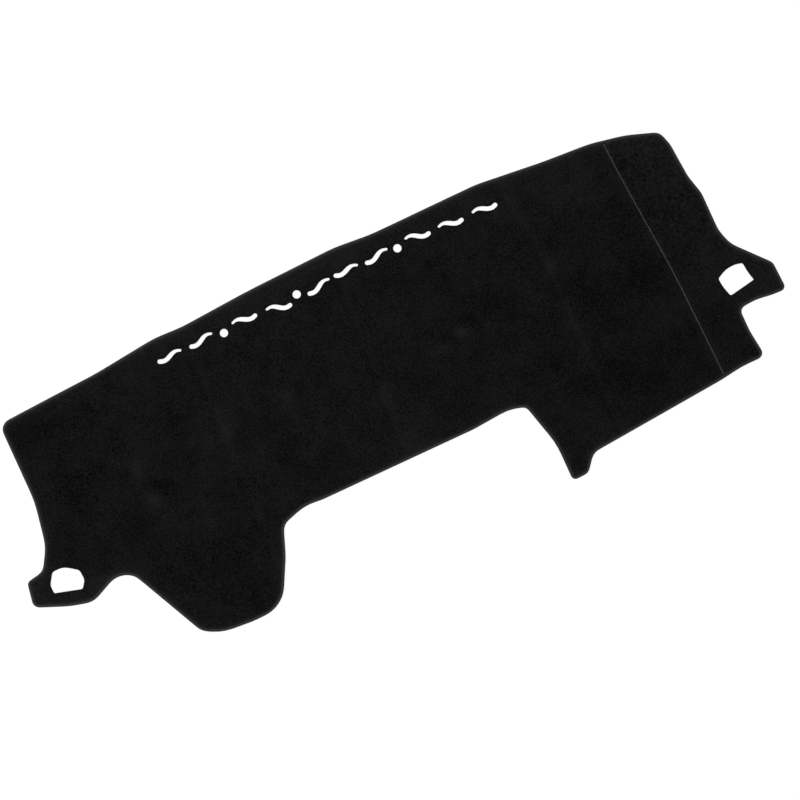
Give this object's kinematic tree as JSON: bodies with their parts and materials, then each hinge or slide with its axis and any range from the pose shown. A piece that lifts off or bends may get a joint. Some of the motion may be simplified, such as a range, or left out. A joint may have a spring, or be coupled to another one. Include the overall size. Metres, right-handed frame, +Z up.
{
  "type": "dashboard cover mat",
  "caption": "Flat black pile mat cut to a dashboard's plan, with end ears, hanging lobes, vent slots, cut windows, a seamed end panel and an overlocked edge.",
  "frame": {"origin": "middle of the bounding box on the underside, where the mat rests", "axes": "+X along the dashboard towards the passenger's end, +Y towards the windscreen, +Z up out of the pile"},
  "size_m": [1.5002, 0.5714, 0.0048],
  "materials": {
    "pile_cloth": "deep matt cut pile with a soft nap, felt-backed",
    "edge_thread": "dull dark grey overlocking thread",
    "seam_thread": "pale grey sewing thread"
  },
  "bodies": {
    "root": {"main_panel": "pile_cloth", "end_panel": "pile_cloth", "edge_binding": "edge_thread", "seam_thread": "seam_thread"}
  },
  "joints": []
}
